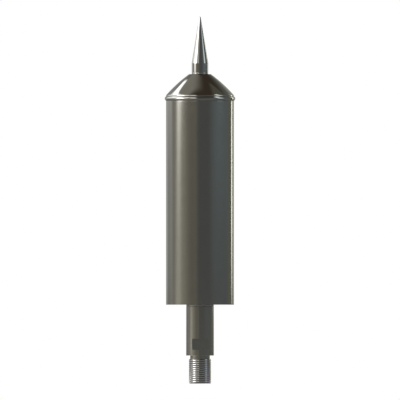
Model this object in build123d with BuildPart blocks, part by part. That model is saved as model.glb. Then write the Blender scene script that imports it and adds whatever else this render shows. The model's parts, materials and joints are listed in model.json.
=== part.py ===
from build123d import *

import os
from math import cos, radians, tan

# Lightning air terminal with a triggering unit inside its housing.
# Millimetres, +Z up. The origin lies on the axis at the lower end of the mast thread,
# and the front, which shows a spanner flat, faces -Y.
#
# An earthed rod runs from the stem to the spike and ties the whole stack together.
# The housing and its cap float on two insulating bushes and collect the ambient charge,
# which the circuit inside stores and releases across the spark gaps to the rod.

# Fits and edges
slide_gap = 0.1
bush_gap = 0.1
screw_gap = 0.05
seal_gap = 0.05
edge_break = 0.3
drill_angle = 118.0
half_turn = 180.0
quarter_turn = 90.0
nut_side_count = 6

# Mast thread and stem
thread_diameter = 20.0
thread_length = 22.3
thread_lead = 0.4
neck_diameter = 17.8
neck_length = 3.1
stem_diameter = 25.0
stem_length = 44.6
flat_across = 20.0
flat_height = 10.0
flat_rise = 5.2
flat_turn = 2.0
spigot_diameter = 16.0
spigot_thread_run_out = 2.0

# Insulating bushes
bush_flange = 1.4
bush_wall = 1.3

# Housing tube
housing_diameter = 61.4
housing_wall = 2.0
housing_length = 184.5
mouth_bevel = 0.5

# Base plug
plug_rim_height = 4.0
plug_ledge = 1.0
plug_height = 12.0
plug_floor = 6.0
plug_wall = 4.0

# O-ring grooves
groove_depth = 1.5
groove_width = 2.2
point_seal_depth = 1.1

# Cap
cap_top_radius = 9.8
cap_flank_height = 19.1
cap_flank_radius = 125.0
cap_rim_height = 5.1
cap_rim_rounding = 1.5
bead_height = 4.1
bead_proud = 1.25
cap_plate = 6.0
cap_spigot_length = 8.0
cap_spigot_wall = 3.5

# Spike
point_diameter = 14.9
point_shoulder_height = 8.5
point_cone_height = 42.0
point_tip_radius = 0.6
point_ridge_rounding = 0.4

# Central rod
rod_diameter = 12.0
stud_diameter = 10.0
stud_foot_length = 18.0
stud_head_length = 10.0
bore_spare_depth = 1.0

# Clamp on the stem's spigot
insulating_washer_thickness = 1.5
insulating_washer_diameter = 30.0
washer_thickness = 2.5
washer_diameter = 28.0
spring_washer_thickness = 3.5
spring_washer_diameter = 26.0
spring_washer_slot = 1.5
spring_washer_slant = 20.0
base_nut_across = 24.0
base_nut_height = 8.0

# Insulators inside the housing
liner_wall = 1.0
liner_end_gap = 0.4
insulator_plate = 5.0
hub_wall = 2.0
hub_clearance = 0.6
hub_rounding = 1.5
rod_sleeve_wall = 1.8

# Tie rods and spacers
tie_count = 3
tie_edge_distance = 3.6
tie_diameter = 3.0
tie_hole_depth = 4.0
tie_nut_across = 5.5
tie_nut_height = 2.4
tie_thread_show = 1.0
spacer_diameter = 5.0
lower_spacer_length = 22.0

# Boards and what they carry
board_thickness = 1.6
board_edge_gap = 1.0
capacitor_count = 6
capacitor_edge_distance = 9.1
capacitor_diameter = 12.0
capacitor_height = 30.0
capacitor_headroom = 6.0
capacitor_rounding = 0.8
resistor_count = 6
resistor_edge_distance = 4.0
resistor_diameter = 4.2
resistor_waist_diameter = 3.6
resistor_length = 11.0
resistor_cap_length = 2.5
core_inner_radius = 9.5
core_outer_radius = 15.0
core_height = 10.0
core_rounding = 0.8
winding_build = 1.8
winding_rounding = 2.0
winding_gap_angle = 24.0

# Spark gaps
plate_thickness = 3.0
collector_drop = 12.3
gap_count = 3
gap_tube_side_gap = 1.6
gap_turn = 60.0
gap_tube_diameter = 14.0
gap_tube_bore = 10.0
gap_tube_length = 40.0
electrode_flange = 2.0
electrode_step = 2.0
electrode_diameter = 6.0
spark_gap = 5.0

# Contact spring
spring_wire = 1.6
spring_turns = 5
spring_side_gap = 0.7

# Radii that several pieces share
thread_radius = thread_diameter / 2
neck_radius = neck_diameter / 2
stem_radius = stem_diameter / 2
spigot_radius = spigot_diameter / 2
housing_radius = housing_diameter / 2
bore_radius = housing_radius - housing_wall
point_radius = point_diameter / 2
rod_radius = rod_diameter / 2
stud_radius = stud_diameter / 2
tie_radius = tie_diameter / 2
fit_radius = bore_radius - slide_gap
seal_floor_radius = fit_radius - groove_depth
stem_bush_inner = spigot_radius + bush_gap
stem_bush_outer = stem_bush_inner + bush_wall
point_bush_inner = stud_radius + bush_gap
point_bush_outer = point_bush_inner + bush_wall
sleeve_inner = rod_radius + bush_gap
sleeve_outer = sleeve_inner + rod_sleeve_wall
liner_outer = bore_radius - slide_gap
liner_inner = liner_outer - liner_wall
stack_radius = liner_inner - slide_gap
board_radius = liner_inner - board_edge_gap
tie_circle_radius = board_radius - tie_edge_distance
capacitor_circle_radius = board_radius - capacitor_edge_distance
resistor_circle_radius = board_radius - resistor_edge_distance
gap_circle_radius = sleeve_outer + gap_tube_side_gap + gap_tube_diameter / 2
spring_radius = sleeve_outer + spring_side_gap + spring_wire / 2
spring_seat_radius = spring_radius + spring_wire / 2 + edge_break

# Heights of the outer stack, from the thread's end up
neck_top = thread_length + neck_length
stem_top = neck_top + stem_length
housing_foot = stem_top + bush_flange
housing_top = housing_foot + housing_length
cap_corner = housing_top + cap_rim_height
cap_top = cap_corner + cap_flank_height
point_foot = cap_top + bush_flange
point_ridge = point_foot + point_shoulder_height
point_tip = point_ridge + point_cone_height
cap_underside = cap_top - cap_plate
cap_spigot_end = housing_top - cap_spigot_length

# Heights of the clamp inside the base
plug_top = housing_foot + plug_height
plug_floor_top = housing_foot + plug_floor
washer_foot = plug_floor_top + insulating_washer_thickness
spring_washer_foot = washer_foot + washer_thickness
base_nut_foot = spring_washer_foot + spring_washer_thickness
base_nut_top = base_nut_foot + base_nut_height
spigot_top = base_nut_top + spigot_thread_run_out

# Heights of the stack on the tie rods. The lower boards stand on the base and the spark gaps
# hang below the cap, and the upper spacers take up what is left between them.
insulator_top = plug_top + insulator_plate
charging_board_foot = insulator_top + lower_spacer_length
charging_board_top = charging_board_foot + board_thickness
pulse_board_foot = charging_board_top + capacitor_height + capacitor_headroom
pulse_board_top = pulse_board_foot + board_thickness
collector_top = cap_spigot_end - collector_drop
collector_foot = collector_top - plate_thickness
gap_tube_top = collector_foot - electrode_flange
gap_tube_foot = gap_tube_top - gap_tube_length
earth_plate_top = gap_tube_foot - electrode_flange
earth_plate_foot = earth_plate_top - plate_thickness
tie_foot = insulator_top - tie_hole_depth
tie_top = earth_plate_top + tie_nut_height + tie_thread_show


def drill_point(radius):
    """Height of the cone that a drill leaves at the end of a blind bore."""
    return radius / tan(radians(drill_angle / 2))


def turned(outline):
    """A piece turned round the main axis from its (radius, height) outline."""
    with BuildPart() as piece:
        with BuildSketch(Plane.XZ):
            with BuildLine():
                Polyline(outline, close=True)
            make_face()
        revolve(axis=Axis.Z)
    return piece


def ring(inner, outer, foot, top):
    """A plain ring or tube round the main axis."""
    return turned([(inner, foot), (outer, foot), (outer, top), (inner, top)])


def o_ring(inner, outer, height):
    """An O-ring squeezed between two radii, centred at a height."""
    wire_radius = (outer - inner) / 2 - seal_gap
    with BuildPart() as piece:
        with BuildSketch(Plane.XZ):
            with Locations(((inner + outer) / 2, height)):
                Circle(wire_radius)
        revolve(axis=Axis.Z)
    return piece


def spacers(foot, length):
    """One set of tubular spacers over the tie rods."""
    with BuildPart() as piece:
        with BuildSketch(Plane.XY.offset(foot)):
            with PolarLocations(tie_circle_radius, tie_count):
                Circle(spacer_diameter / 2)
                Circle(tie_radius + slide_gap, mode=Mode.SUBTRACT)
        extrude(amount=length)
    return piece


def board(foot, thickness):
    """A round plate over the rod, with holes for the tie rods."""
    with BuildPart() as piece:
        with BuildSketch(Plane.XY.offset(foot)):
            Circle(board_radius)
            Circle(rod_radius + slide_gap, mode=Mode.SUBTRACT)
            with PolarLocations(tie_circle_radius, tie_count):
                Circle(tie_radius + slide_gap, mode=Mode.SUBTRACT)
        extrude(amount=thickness)
    return piece


def electrode_outline(seat, direction):
    """Outline of an electrode that stands on a plate and points along the gap tube."""
    tube_end = seat + direction * electrode_flange
    step_end = tube_end + direction * electrode_step
    tip = tube_end + direction * (gap_tube_length - spark_gap) / 2
    tip_base = tip - direction * electrode_diameter / 2
    step_radius = gap_tube_bore / 2 - slide_gap
    return [
        (0, seat),
        (gap_tube_diameter / 2, seat),
        (gap_tube_diameter / 2, tube_end),
        (step_radius, tube_end),
        (step_radius, step_end),
        (electrode_diameter / 2, step_end),
        (electrode_diameter / 2, tip_base),
    ], (0, tip)


def electrodes(seat, direction):
    """The electrodes at one end of the gap tubes, with round tips."""
    outline, tip = electrode_outline(seat, direction)
    with BuildPart() as piece:
        for place in PolarLocations(gap_circle_radius, gap_count, gap_turn):
            axis_plane = Plane(place.position, x_dir=(1, 0, 0), z_dir=(0, -1, 0))
            with BuildSketch(axis_plane):
                with BuildLine():
                    sides = Polyline(outline)
                    round_tip = RadiusArc(sides @ 1, tip, -direction * electrode_diameter / 2)
                    Line(round_tip @ 1, sides @ 0)
                make_face()
            revolve(axis=Axis(place.position, (0, 0, 1)))
    return piece


# Mounting stem
#
# One turned bar: the spigot through the base plug, the round stem, the relief neck and the
# mast thread at its major diameter. A blind bore in the spigot takes the rod's foot.
stem_bore_foot = spigot_top - stud_foot_length - bore_spare_depth
seal_face_radius = spigot_radius + groove_depth + groove_width / 2
seal_face_floor = stem_top - groove_depth

mounting_stem_outline = [
    (0, 0),
    (thread_radius - thread_lead, 0),
    (thread_radius, thread_lead),
    (thread_radius, thread_length),
    (neck_radius, thread_length),
    (neck_radius, neck_top),
    (stem_radius, neck_top),
    (stem_radius, stem_top - edge_break),
    (stem_radius - edge_break, stem_top),
    (seal_face_radius, stem_top),
    (seal_face_radius, seal_face_floor),
    (spigot_radius, seal_face_floor),
    (spigot_radius, spigot_top - edge_break),
    (spigot_radius - edge_break, spigot_top),
    (stud_radius + screw_gap, spigot_top),
    (stud_radius + screw_gap, stem_bore_foot),
    (0, stem_bore_foot - drill_point(stud_radius + screw_gap)),
]

with BuildPart() as mounting_stem:
    with BuildSketch(Plane.XZ):
        with BuildLine():
            Polyline(mounting_stem_outline, close=True)
        make_face()
    revolve(axis=Axis.Z)

    # The two spanner flats are milled across the round stem
    flat_plane = Plane.XY.offset(neck_top + flat_rise).rotated((0, 0, flat_turn))
    mill_depth = stem_radius - flat_across / 2
    with BuildSketch(flat_plane):
        with Locations((0, -stem_radius + mill_depth / 2), (0, stem_radius - mill_depth / 2)):
            Rectangle(stem_diameter, mill_depth)
    extrude(amount=flat_height, mode=Mode.SUBTRACT)

stem_seal_middle = stem_top - groove_depth / 2
stem_seal_inner = spigot_radius + (seal_face_radius - spigot_radius - groove_depth) / 2
stem_seal = o_ring(stem_seal_inner, stem_seal_inner + groove_depth, stem_seal_middle)

# Insulating bushes
#
# Each has a thin flange, which shows as a ring between the metal pieces, and a sleeve
# in the bore of the metal piece that it keeps off the earthed parts.
stem_bush = turned([
    (stem_bush_inner, stem_top),
    (stem_radius, stem_top),
    (stem_radius, housing_foot),
    (stem_bush_outer, housing_foot),
    (stem_bush_outer, plug_floor_top),
    (stem_bush_inner, plug_floor_top),
])

point_bush = turned([
    (point_bush_inner, cap_underside),
    (point_bush_outer, cap_underside),
    (point_bush_outer, cap_top),
    (point_radius, cap_top),
    (point_radius, point_foot),
    (point_bush_inner, point_foot),
])

# Base plug
#
# A cup that closes the tube flush. Its rim seats on the ledge in the tube's bore,
# and its spigot carries an O-ring.
rim_radius = bore_radius + plug_ledge
rim_top = housing_foot + plug_rim_height
base_groove_foot = rim_top + (plug_height - plug_rim_height - groove_width) / 2
base_groove_top = base_groove_foot + groove_width

base_plug = turned([
    (stem_bush_outer + bush_gap, housing_foot),
    (rim_radius - slide_gap, housing_foot),
    (rim_radius - slide_gap, rim_top),
    (fit_radius, rim_top),
    (fit_radius, base_groove_foot),
    (seal_floor_radius, base_groove_foot),
    (seal_floor_radius, base_groove_top),
    (fit_radius, base_groove_top),
    (fit_radius, plug_top - edge_break),
    (fit_radius - edge_break, plug_top),
    (fit_radius - plug_wall, plug_top),
    (fit_radius - plug_wall, plug_floor_top),
    (stem_bush_outer + bush_gap, plug_floor_top),
])

base_seal = o_ring(seal_floor_radius, bore_radius, (base_groove_foot + base_groove_top) / 2)

# Housing tube
housing_tube = turned([
    (rim_radius, housing_foot),
    (housing_radius, housing_foot),
    (housing_radius, housing_top),
    (bore_radius + mouth_bevel, housing_top),
    (bore_radius, housing_top - mouth_bevel),
    (bore_radius, rim_top),
    (rim_radius, rim_top),
])

# Top cap
#
# Turned and hollowed from bar: a small flat top, a gently convex flank, a rounded rim,
# a groove and a half-round bead that seats on the tube, with a spigot inside the tube.
cap_groove_top = housing_top - (cap_spigot_length - groove_width) / 2
cap_groove_foot = cap_groove_top - groove_width
cavity_radius = fit_radius - cap_spigot_wall
cap_bore_radius = point_bush_outer + bush_gap
bead_top = housing_top + bead_height
bead_middle = housing_top + bead_height / 2

with BuildPart() as top_cap:
    with BuildSketch(Plane.XZ) as cap_profile:
        with BuildLine():
            flat_top = Line((cap_bore_radius, cap_top), (cap_top_radius, cap_top))
            flank = RadiusArc(flat_top @ 1, (housing_radius, cap_corner), cap_flank_radius)
            rim = Line(flank @ 1, (housing_radius, bead_top))
            bead = ThreePointArc(
                rim @ 1, (housing_radius + bead_proud, bead_middle), (housing_radius, housing_top)
            )
            spigot = Polyline(
                bead @ 1,
                (fit_radius, housing_top),
                (fit_radius, cap_groove_top),
                (seal_floor_radius, cap_groove_top),
                (seal_floor_radius, cap_groove_foot),
                (fit_radius, cap_groove_foot),
                (fit_radius, cap_spigot_end + edge_break),
                (fit_radius - edge_break, cap_spigot_end),
                (cavity_radius, cap_spigot_end),
                (cavity_radius, cap_corner),
            )
            cavity = RadiusArc(
                spigot @ 1, (spring_seat_radius, cap_underside), -cap_flank_radius
            )
            underside = Line(cavity @ 1, (cap_bore_radius, cap_underside))
            Line(underside @ 1, flat_top @ 0)
        make_face()
        rim_corner = cap_profile.vertices().sort_by_distance((housing_radius, cap_corner))[0]
        fillet(rim_corner, cap_rim_rounding)
    revolve(axis=Axis.Z)

cap_seal = o_ring(seal_floor_radius, bore_radius, (cap_groove_foot + cap_groove_top) / 2)

# Spike
point_bore_top = point_foot + stud_head_length + bore_spare_depth
point_seal_outer = stud_radius + screw_gap + point_seal_depth

with BuildPart() as strike_point:
    with BuildSketch(Plane.XZ) as point_profile:
        with BuildLine():
            Polyline(
                (point_seal_outer, point_foot),
                (point_radius, point_foot),
                (point_radius, point_ridge),
                (point_tip_radius, point_tip),
                (0, point_tip),
                (0, point_bore_top + drill_point(stud_radius + screw_gap)),
                (stud_radius + screw_gap, point_bore_top),
                (stud_radius + screw_gap, point_foot + point_seal_depth),
                (point_seal_outer, point_foot + point_seal_depth),
                close=True,
            )
        make_face()
        ridge_corner = point_profile.vertices().sort_by_distance((point_radius, point_ridge))[0]
        fillet(ridge_corner, point_ridge_rounding)
    revolve(axis=Axis.Z)

point_seal = o_ring(
    stud_radius + screw_gap, point_seal_outer, point_foot + point_seal_depth / 2
)

# Central rod
central_rod = turned([
    (0, spigot_top - stud_foot_length),
    (stud_radius, spigot_top - stud_foot_length),
    (stud_radius, spigot_top),
    (rod_radius, spigot_top),
    (rod_radius, cap_underside - edge_break),
    (rod_radius - edge_break, cap_underside),
    (stud_radius, cap_underside),
    (stud_radius, point_foot + stud_head_length),
    (0, point_foot + stud_head_length),
])

# Clamp on the stem's spigot
base_insulating_washer = ring(
    stem_bush_inner, insulating_washer_diameter / 2, plug_floor_top, washer_foot
)
base_washer = ring(stem_bush_inner, washer_diameter / 2, washer_foot, spring_washer_foot)

with BuildPart() as base_spring_washer:
    with BuildSketch(Plane.XY.offset(spring_washer_foot)):
        Circle(spring_washer_diameter / 2)
        Circle(stem_bush_inner, mode=Mode.SUBTRACT)
    extrude(amount=spring_washer_thickness)
    # The split is cut on a slant, so that the ends overlap as the washer turns
    split_plane = Plane.YZ.rotated((spring_washer_slant, 0, 0))
    split_plane.origin = (spigot_radius, 0, (spring_washer_foot + base_nut_foot) / 2)
    with BuildSketch(split_plane):
        Rectangle(spring_washer_slot, spring_washer_diameter)
    extrude(amount=spring_washer_diameter / 2, mode=Mode.SUBTRACT)

with BuildPart() as base_nut:
    with BuildSketch(Plane.XY.offset(base_nut_foot)):
        RegularPolygon(base_nut_across / 2, nut_side_count, major_radius=False)
        Circle(spigot_radius + screw_gap, mode=Mode.SUBTRACT)
    extrude(amount=base_nut_height)

# Insulators
insulating_liner = ring(liner_inner, liner_outer, plug_top, cap_spigot_end - liner_end_gap)
rod_sleeve = ring(sleeve_inner, sleeve_outer, earth_plate_top, cap_underside - liner_end_gap)

hub_inner = base_nut_across / 2 / cos(radians(half_turn / nut_side_count)) + hub_clearance
hub_underside = spigot_top + hub_clearance
hub_top = hub_underside + hub_wall

with BuildPart() as lower_insulator:
    with BuildSketch(Plane.XZ):
        with BuildLine():
            Polyline(
                (hub_inner, plug_top),
                (stack_radius, plug_top),
                (stack_radius, insulator_top),
                (hub_inner + hub_wall, insulator_top),
                (hub_inner + hub_wall, hub_top),
                (sleeve_inner, hub_top),
                (sleeve_inner, hub_underside),
                (hub_inner, hub_underside),
                close=True,
            )
        make_face()
    revolve(axis=Axis.Z)
    hub_rims = lower_insulator.edges().filter_by(GeomType.CIRCLE).filter_by(
        lambda edge: abs(edge.radius - hub_inner - hub_wall) < slide_gap
    )
    fillet(hub_rims, hub_rounding)
    with Locations((0, 0, insulator_top)):
        with PolarLocations(tie_circle_radius, tie_count):
            Hole(tie_radius + screw_gap, depth=tie_hole_depth)

# Tie rods with their nuts and spacers
with BuildPart() as tie_rods:
    with BuildSketch(Plane.XY.offset(tie_foot)):
        with PolarLocations(tie_circle_radius, tie_count):
            Circle(tie_radius)
    extrude(amount=tie_top - tie_foot)

with BuildPart() as tie_nuts:
    with BuildSketch(Plane.XY.offset(earth_plate_top)):
        with PolarLocations(tie_circle_radius, tie_count):
            RegularPolygon(tie_nut_across / 2, nut_side_count, major_radius=False)
            Circle(tie_radius + screw_gap, mode=Mode.SUBTRACT)
    extrude(amount=tie_nut_height)

lower_spacers = spacers(insulator_top, lower_spacer_length)
middle_spacers = spacers(charging_board_top, pulse_board_foot - charging_board_top)
upper_spacers = spacers(pulse_board_top, earth_plate_foot - pulse_board_top)

# Charging board with its ring of storage capacitors, which stand between the spacers
charging_board = board(charging_board_foot, board_thickness)
capacitor_turn = half_turn / capacitor_count

with BuildPart() as storage_capacitors:
    with BuildSketch(Plane.XY.offset(charging_board_top)):
        with PolarLocations(capacitor_circle_radius, capacitor_count, capacitor_turn):
            Circle(capacitor_diameter / 2)
    extrude(amount=capacitor_height)
    can_rims = storage_capacitors.edges().filter_by(GeomType.CIRCLE).group_by(Axis.Z)[-1]
    fillet(can_rims, capacitor_rounding)

# Pulse board with the charging resistors lying round the transformer
pulse_board = board(pulse_board_foot, board_thickness)
resistor_turn = half_turn / resistor_count
resistor_cap_offset = (resistor_length - resistor_cap_length) / 2

with BuildPart() as charging_resistors:
    with Locations((0, 0, pulse_board_top + resistor_diameter / 2)):
        with PolarLocations(resistor_circle_radius, resistor_count, resistor_turn):
            Cylinder(resistor_waist_diameter / 2, resistor_length, rotation=(quarter_turn, 0, 0))
            with Locations((0, -resistor_cap_offset, 0), (0, resistor_cap_offset, 0)):
                Cylinder(resistor_diameter / 2, resistor_cap_length, rotation=(quarter_turn, 0, 0))

# Pulse transformer, a ring core with a winding on each half
core_middle = (
    (core_inner_radius + core_outer_radius) / 2,
    pulse_board_top + winding_build + core_height / 2,
)
core_width = core_outer_radius - core_inner_radius

with BuildPart() as transformer_core:
    with BuildSketch(Plane.XZ):
        with Locations(core_middle):
            RectangleRounded(core_width, core_height, core_rounding)
    revolve(axis=Axis.Z)

with BuildPart() as transformer_winding:
    for bank_turn in (winding_gap_angle / 2, half_turn + winding_gap_angle / 2):
        with BuildSketch(Plane.XZ.rotated((0, 0, bank_turn))):
            with Locations(core_middle):
                RectangleRounded(
                    core_width + 2 * winding_build,
                    core_height + 2 * winding_build,
                    winding_rounding,
                )
                RectangleRounded(core_width, core_height, core_rounding, mode=Mode.SUBTRACT)
        revolve(axis=Axis.Z, revolution_arc=half_turn - winding_gap_angle)

# Spark gaps: ceramic tubes between the earthed plate and the collector plate
earth_plate = board(earth_plate_foot, plate_thickness)
lower_electrodes = electrodes(earth_plate_top, 1)
upper_electrodes = electrodes(collector_foot, -1)

with BuildPart() as spark_gap_tubes:
    with BuildSketch(Plane.XY.offset(gap_tube_foot)):
        with PolarLocations(gap_circle_radius, gap_count, gap_turn):
            Circle(gap_tube_diameter / 2)
            Circle(gap_tube_bore / 2, mode=Mode.SUBTRACT)
    extrude(amount=gap_tube_length)

collector_plate = ring(sleeve_outer + slide_gap, board_radius, collector_foot, collector_top)

# Contact spring from the collector plate up to the cap
with BuildPart() as contact_spring:
    with BuildLine():
        coil = Helix(
            pitch=(cap_underside - collector_top - spring_wire) / spring_turns,
            height=cap_underside - collector_top - spring_wire,
            radius=spring_radius,
            center=(0, 0, collector_top + spring_wire / 2),
        )
    with BuildSketch(Plane(origin=coil @ 0, z_dir=coil % 0)):
        Circle(spring_wire / 2)
    sweep(is_frenet=True)

# Each sub-part goes to its own file
sub_parts = {
    "mounting_stem": mounting_stem,
    "stem_seal": stem_seal,
    "stem_bush": stem_bush,
    "base_plug": base_plug,
    "base_seal": base_seal,
    "base_insulating_washer": base_insulating_washer,
    "base_washer": base_washer,
    "base_spring_washer": base_spring_washer,
    "base_nut": base_nut,
    "housing_tube": housing_tube,
    "insulating_liner": insulating_liner,
    "lower_insulator": lower_insulator,
    "tie_rods": tie_rods,
    "tie_nuts": tie_nuts,
    "lower_spacers": lower_spacers,
    "charging_board": charging_board,
    "storage_capacitors": storage_capacitors,
    "middle_spacers": middle_spacers,
    "pulse_board": pulse_board,
    "charging_resistors": charging_resistors,
    "transformer_core": transformer_core,
    "transformer_winding": transformer_winding,
    "upper_spacers": upper_spacers,
    "earth_plate": earth_plate,
    "lower_electrodes": lower_electrodes,
    "spark_gap_tubes": spark_gap_tubes,
    "upper_electrodes": upper_electrodes,
    "collector_plate": collector_plate,
    "rod_sleeve": rod_sleeve,
    "contact_spring": contact_spring,
    "central_rod": central_rod,
    "cap_seal": cap_seal,
    "top_cap": top_cap,
    "point_bush": point_bush,
    "point_seal": point_seal,
    "strike_point": strike_point,
}

os.makedirs("parts", exist_ok=True)
for name, sub_part in sub_parts.items():
    sub_part.part.label = name
    export_step(sub_part.part, f"parts/{name}.step")
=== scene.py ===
# %% [markdown]
# # A lightning air terminal in stainless steel
#
# This lesson dresses a lightning rod for its photograph. The real thing is turned and ground
# stainless steel from end to end, and nearly all of its look is what the steel reflects, so the
# lesson spends its effort on three things: true round surfaces, a studio that is worth
# reflecting, and a different polish for each piece.

import json
from math import acos, asin, ceil, cos, degrees, pi, radians, sin, tan

import bmesh
import bpy
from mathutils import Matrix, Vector


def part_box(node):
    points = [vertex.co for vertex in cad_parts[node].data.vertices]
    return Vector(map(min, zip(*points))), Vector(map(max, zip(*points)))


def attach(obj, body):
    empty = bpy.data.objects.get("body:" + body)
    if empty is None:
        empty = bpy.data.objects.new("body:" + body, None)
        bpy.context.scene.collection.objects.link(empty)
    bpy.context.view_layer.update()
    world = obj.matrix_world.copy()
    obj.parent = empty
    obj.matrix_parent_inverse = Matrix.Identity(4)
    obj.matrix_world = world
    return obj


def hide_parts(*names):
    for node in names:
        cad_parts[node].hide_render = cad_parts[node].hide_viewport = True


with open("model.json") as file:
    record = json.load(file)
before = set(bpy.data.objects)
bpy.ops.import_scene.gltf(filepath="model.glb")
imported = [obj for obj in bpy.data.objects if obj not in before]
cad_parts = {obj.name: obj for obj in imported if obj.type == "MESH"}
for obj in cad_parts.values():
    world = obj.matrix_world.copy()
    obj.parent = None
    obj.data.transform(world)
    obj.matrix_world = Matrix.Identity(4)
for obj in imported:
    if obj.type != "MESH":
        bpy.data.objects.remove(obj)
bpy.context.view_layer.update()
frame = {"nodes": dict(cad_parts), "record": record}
nodes = frame["nodes"]
slot_of = {part["node"]: part["material_slot"] for part in frame["record"]["subparts"]}
print("nodes:", len(nodes))

# %% [markdown]
# ## Sizes
#
# Everything below is in metres. Heights and radii come from the model wherever it has them, so
# that a new mesh always sits where the solid sat.

# %% Heights and radii read from the model
MM = 0.001


def heights(node):
    """Lowest and highest point of a node."""
    low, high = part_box(node)
    return low.z, high.z


def radius_of(node):
    """Largest radius of a round node on the main axis."""
    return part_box(node)[1].x


stem_foot, spigot_top = heights("mounting_stem")
stem_top, housing_foot = heights("stem_bush")[0], heights("housing_tube")[0]
housing_top = heights("housing_tube")[1]
cap_spigot_end, cap_top = heights("top_cap")
point_foot, tip_height = heights("strike_point")
housing_radius = radius_of("housing_tube")
stem_radius = radius_of("mounting_stem")
point_radius = radius_of("strike_point")
print("housing", round(housing_foot, 4), round(housing_top, 4), "radius", round(housing_radius, 4))
print("stem radius", round(stem_radius, 4), "point radius", round(point_radius, 4))

# %% [markdown]
# ## The camera
#
# The photograph is a catalogue picture taken from far away: every horizontal edge is dead
# straight and the tube is as wide at its foot as at its top. An orthographic camera, level with
# the object, gives just that. Its scale is the real width that the picture covers.

# %% Place the camera
PICTURE_PIXELS = 400
THREAD_END_PIXEL = 383.6
METRES_PER_PIXEL = 0.905 * MM
CAMERA_DISTANCE = 1.5

camera_data = bpy.data.cameras.new("camera")
camera_data.type = "ORTHO"
camera_data.ortho_scale = PICTURE_PIXELS * METRES_PER_PIXEL
camera = bpy.data.objects.new("camera", camera_data)
bpy.context.scene.collection.objects.link(camera)
picture_middle = (THREAD_END_PIXEL - PICTURE_PIXELS / 2) * METRES_PER_PIXEL
camera.location = (0, -CAMERA_DISTANCE, picture_middle)
camera.rotation_euler = (radians(90), 0, 0)
bpy.context.scene.camera = camera
bpy.context.scene.view_settings.view_transform = "Standard"
print("camera height", round(picture_middle, 4), "scale", round(camera_data.ortho_scale, 4))

# %% [markdown]
# ## Shader maths written as Python
#
# A material is easier to read as sums than as boxes and wires. `Shade` wraps one output socket
# and turns `a * b + 1` into Math nodes, and `Recipe.node` adds any other node in one line.


# %% Sockets that can be added and multiplied
class Shade:
    """One value in a node tree, on which ordinary arithmetic adds Math nodes."""

    def __init__(self, recipe, socket):
        self.recipe = recipe
        self.socket = socket

    def math(self, operation, *values):
        """A Math node with this value first."""
        inputs = dict(enumerate((self,) + values))
        return self.recipe.node("ShaderNodeMath", {"operation": operation}, inputs)

    def __add__(self, other):
        return self.math("ADD", other)

    __radd__ = __add__

    def __sub__(self, other):
        return self.math("SUBTRACT", other)

    def __rsub__(self, other):
        return self * -1 + other

    def __mul__(self, other):
        return self.math("MULTIPLY", other)

    __rmul__ = __mul__

    def __truediv__(self, other):
        return self.math("DIVIDE", other)

    def __rtruediv__(self, other):
        return self.math("POWER", -1) * other

    def __pow__(self, other):
        return self.math("POWER", other)

    def __abs__(self):
        return self.math("ABSOLUTE")


# %% Trees that take a node in one line
def rgba(colour):
    """A grey or an RGB triple as a colour with full alpha."""
    if isinstance(colour, (int, float)):
        colour = (colour, colour, colour)
    return (*colour, 1.0)


class Recipe:
    """The node tree of one material or of the world."""

    def __init__(self, tree):
        self.tree = tree
        tree.nodes.clear()

    def node(self, kind, settings=None, inputs=None, output=0):
        """Adds a node: its settings first, then the values or links of its sockets."""
        node = self.tree.nodes.new(kind)
        for name, value in (settings or {}).items():
            setattr(node, name, value)
        for name, value in (inputs or {}).items():
            if isinstance(value, Shade):
                self.tree.links.new(value.socket, node.inputs[name])
            else:
                node.inputs[name].default_value = value
        if not node.outputs:
            return None
        return Shade(self, node.outputs[output])


# %% Masks and mixes that several recipes share
def smooth_step(value, low, high):
    """0 below low, 1 above high, and a soft ramp between."""
    inputs = {"Value": value, "From Min": low, "From Max": high}
    return value.recipe.node("ShaderNodeMapRange", {"interpolation_type": "SMOOTHSTEP"}, inputs)


def window(value, low, high, soft_low, soft_high):
    """1 between low and high, fading out below and above over its own softness."""
    rise = smooth_step(value, low - soft_low, low + soft_low)
    fall = smooth_step(value, high - soft_high, high + soft_high)
    return rise * (1 - fall)


# The sockets of a Mix node that stand for colours.
MIX_FACTOR, MIX_FIRST, MIX_SECOND, MIX_RESULT = 0, 6, 7, 2


def mix_colours(factor, first, second, blend="MIX"):
    """A colour between two, by a factor, or one laid over the other in another blend."""
    first, second = [c if isinstance(c, Shade) else rgba(c) for c in (first, second)]
    inputs = {MIX_FACTOR: factor, MIX_FIRST: first, MIX_SECOND: second}
    settings = {"data_type": "RGBA", "blend_type": blend}
    return factor.recipe.node("ShaderNodeMix", settings, inputs, output=MIX_RESULT)


# %% Materials painted by the place on the object
def axis_of(vector, axis):
    """One number of a vector: its X, Y or Z."""
    return vector.recipe.node("ShaderNodeSeparateXYZ", {}, {0: vector}, output=axis)


def material_of(name, shader, paint):
    """A material whose shader takes the inputs that paint makes of the place, in metres."""
    material = bpy.data.materials.new(name)
    material.use_nodes = True
    recipe = Recipe(material.node_tree)
    place = recipe.node("ShaderNodeTexCoord", output="Object")
    surface = recipe.node(shader, {}, paint(place))
    recipe.node("ShaderNodeOutputMaterial", {}, {"Surface": surface})
    print("material:", name)
    return material


def finish(name, paint):
    """A solid surface."""
    return material_of(name, "ShaderNodeBsdfPrincipled", paint)


def glow(name, paint):
    """A surface that shines in the colour that paint makes of the place."""
    def shine(place):
        return {"Color": paint(place), "Strength": 1.0}

    return material_of(name, "ShaderNodeEmission", shine)
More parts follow.
